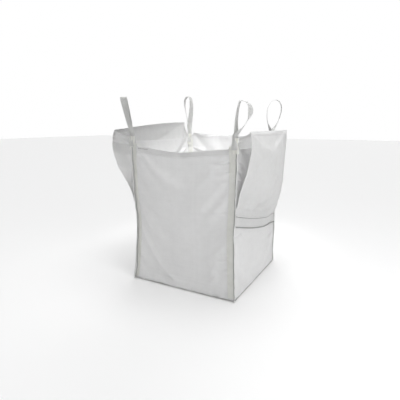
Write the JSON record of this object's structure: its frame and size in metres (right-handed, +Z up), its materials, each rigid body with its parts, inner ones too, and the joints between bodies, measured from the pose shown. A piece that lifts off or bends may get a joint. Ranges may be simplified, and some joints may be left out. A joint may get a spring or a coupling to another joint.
{
  "type": "bulk bag",
  "caption": "Open-topped square bulk bag of woven polypropylene with corner lifting loops and tied-up outer side flaps, for lifting and storing loose bulk material.",
  "frame": {"origin": "centre of the base panel's flat underside, on the floor", "axes": "+Z up, -Y towards the front, +X to the right as seen from the front"},
  "size_m": [1.2445, 1.0177, 1.5365],
  "materials": {
    "woven_body": "matte woven polypropylene, slightly glossy tapes",
    "woven_flap": "matte woven polypropylene, slightly glossy tapes",
    "hem": "folded woven polypropylene, chain stitched",
    "flap_hem": "folded woven polypropylene, chain stitched",
    "seam": "folded seam allowance, chain stitched",
    "seam_band": "woven polypropylene, two stitched ridges",
    "webbing": "heavy polypropylene webbing, matte",
    "loop_webbing": "heavy polypropylene webbing, matte",
    "post_cloth": "gathered woven cloth and webbing, matte"
  },
  "bodies": {
    "bag": {"front_panel": "woven_body", "right_panel": "woven_body", "back_panel": "woven_body", "left_panel": "woven_body", "base_panel": "woven_body", "front_rim_hem": "hem", "right_rim_hem": "hem", "back_rim_hem": "hem", "left_rim_hem": "hem", "front_bottom_seam": "seam", "right_bottom_seam": "seam", "back_bottom_seam": "seam", "left_bottom_seam": "seam", "front_left_corner_seam": "seam", "front_right_corner_seam": "seam", "back_left_corner_seam": "seam", "back_right_corner_seam": "seam", "front_left_webbing": "webbing", "front_left_inner_webbing": "webbing", "front_right_webbing": "webbing", "front_right_inner_webbing": "webbing", "back_left_webbing": "webbing", "back_left_inner_webbing": "webbing", "back_right_webbing": "webbing", "back_right_inner_webbing": "webbing", "front_left_post": "post_cloth", "front_right_post": "post_cloth", "back_left_post": "post_cloth", "back_right_post": "post_cloth", "right_flap_seam_band": "seam_band", "left_flap_seam_band": "seam_band"},
    "left_flap": {"left_flap": "woven_flap", "left_flap_front_hem": "flap_hem", "left_flap_back_hem": "flap_hem", "left_flap_top_hem": "flap_hem", "left_flap_front_tab": "woven_flap", "left_flap_back_tab": "woven_flap"},
    "right_flap": {"right_flap": "woven_flap", "right_flap_front_hem": "flap_hem", "right_flap_back_hem": "flap_hem", "right_flap_top_hem": "flap_hem", "right_flap_front_tab": "woven_flap", "right_flap_back_tab": "woven_flap"},
    "front_left_loop": {"front_left_loop": "loop_webbing"},
    "front_right_loop": {"front_right_loop": "loop_webbing"},
    "back_left_loop": {"back_left_loop": "loop_webbing"},
    "back_right_loop": {"back_right_loop": "loop_webbing"}
  },
  "joints": [
    {"name": "left_flap_seam", "type": "hinge", "parent": "bag", "child": "left_flap", "pos_m": [-0.4595, 0, 0.546], "axis": [0, -0.9834, 0.1813], "range_deg": [0, 115]},
    {"name": "right_flap_seam", "type": "hinge", "parent": "bag", "child": "right_flap", "pos_m": [0.4595, 0, 0.546], "axis": [0, 0.9834, -0.1813], "range_deg": [0, 115]},
    {"name": "front_left_loop_flex", "type": "hinge", "parent": "bag", "child": "front_left_loop", "pos_m": [-0.438, -0.448, 1.198], "axis": [1, 0, 0], "range_deg": [-60, 110]},
    {"name": "front_right_loop_flex", "type": "hinge", "parent": "bag", "child": "front_right_loop", "pos_m": [0.438, -0.448, 1.198], "axis": [1, 0, 0], "range_deg": [-60, 110]},
    {"name": "back_left_loop_flex", "type": "hinge", "parent": "bag", "child": "back_left_loop", "pos_m": [-0.438, 0.448, 1.198], "axis": [-1, 0, 0], "range_deg": [-60, 110]},
    {"name": "back_right_loop_flex", "type": "hinge", "parent": "bag", "child": "back_right_loop", "pos_m": [0.404, 0.448, 1.198], "axis": [-1, 0, 0], "range_deg": [-60, 110]}
  ]
}
